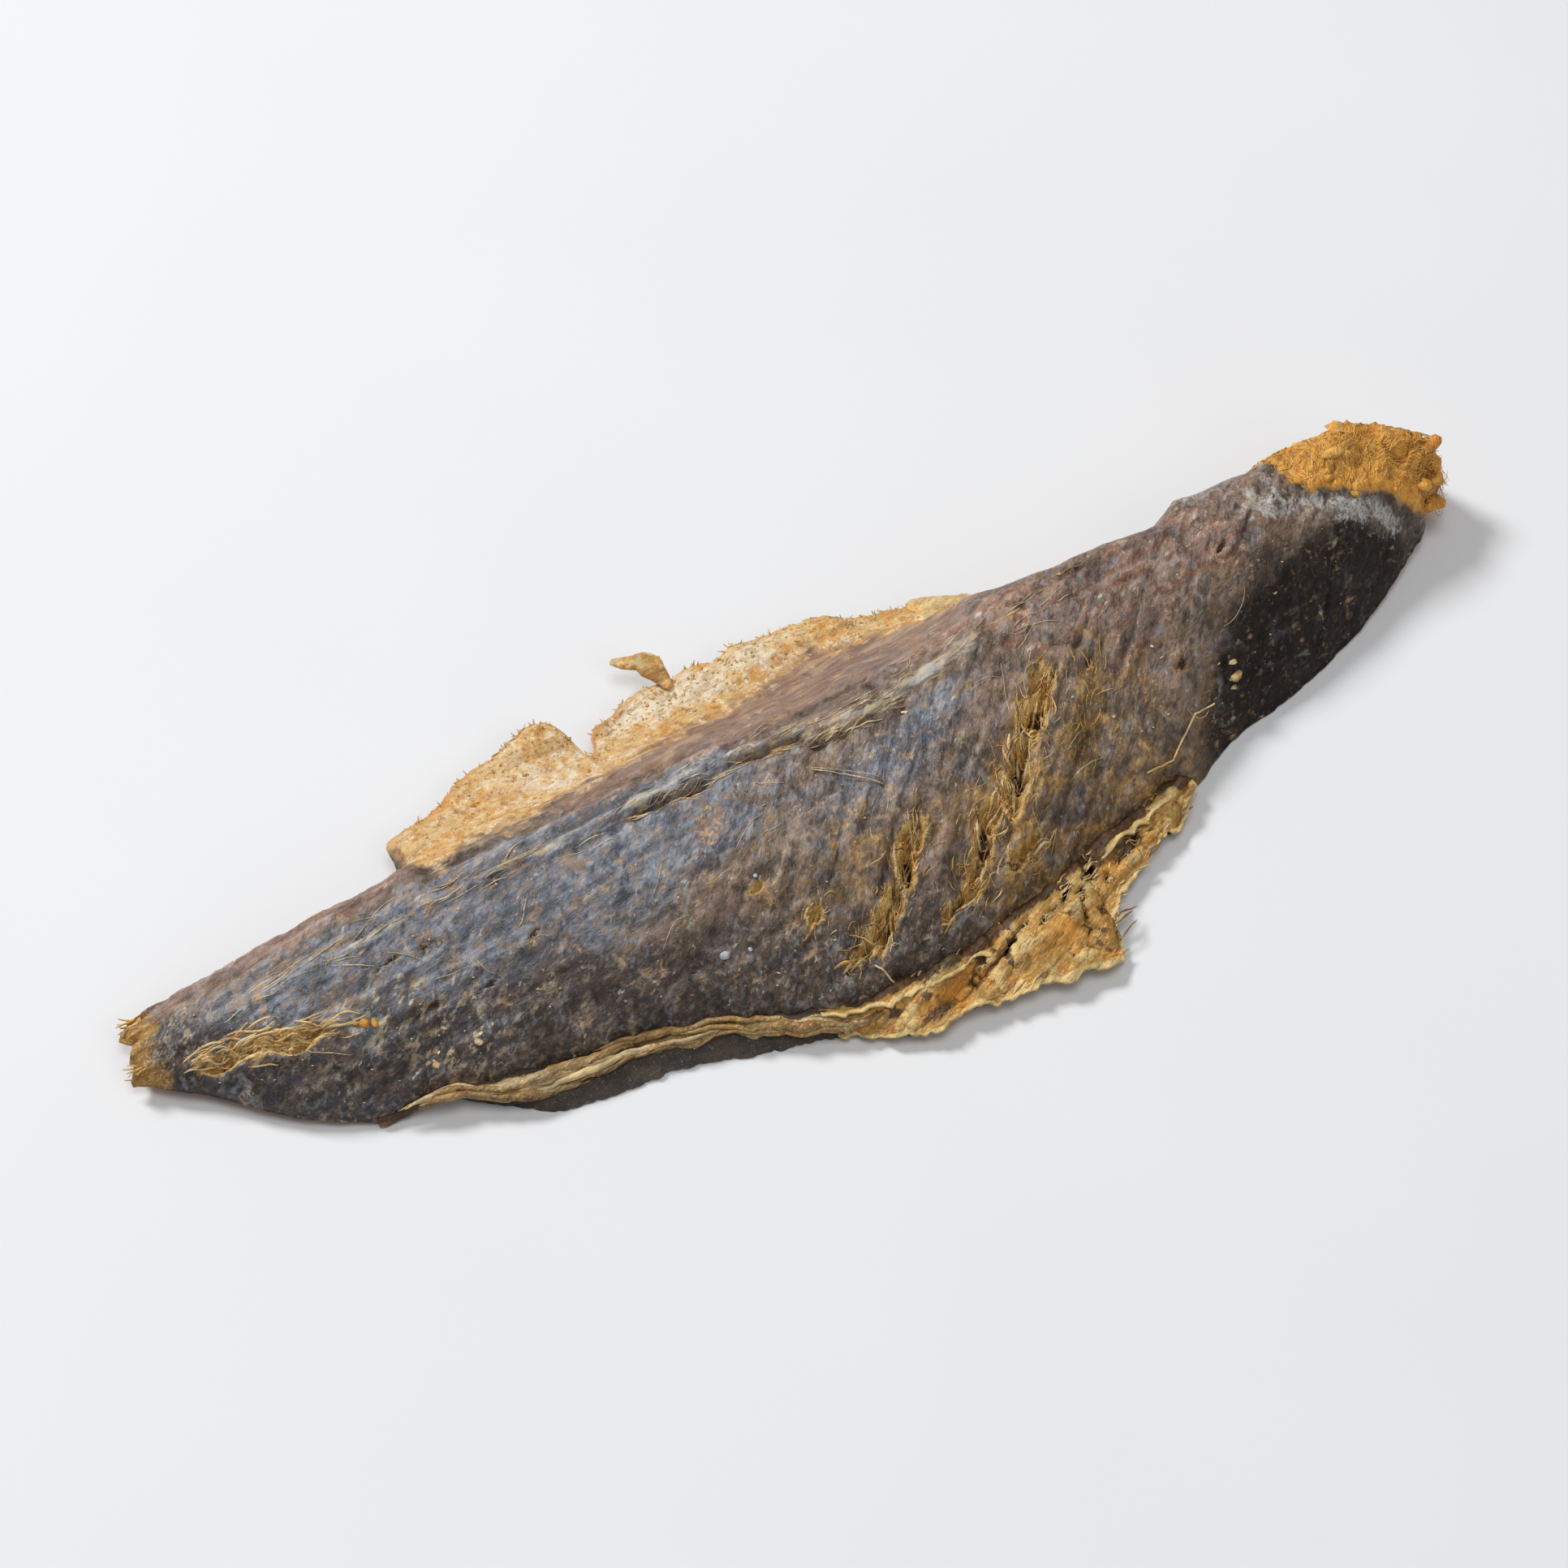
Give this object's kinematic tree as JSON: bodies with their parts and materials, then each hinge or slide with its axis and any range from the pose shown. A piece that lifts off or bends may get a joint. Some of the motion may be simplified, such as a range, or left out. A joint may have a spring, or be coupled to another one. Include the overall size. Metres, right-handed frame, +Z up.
{
  "type": "smoked fish",
  "caption": "Headless hot-smoked dried fish, gutted and opened along the belly, lying skin side up, with thin golden belly flaps and a torn edge.",
  "frame": {"origin": "centre of the bounding box, on the table that the fish lies on", "axes": "+X from the tail stub to the cut head end, +Y towards the long golden belly flap, +Z up, skin side up"},
  "size_m": [0.1708, 0.0578, 0.0138],
  "materials": {
    "smoked_skin": "dry grey-brown smoked fish skin with a dull blue sheen, golden translucent belly edges and orange-brown flesh"
  },
  "bodies": {
    "root": {"smoked_fish": "smoked_skin"}
  },
  "joints": []
}
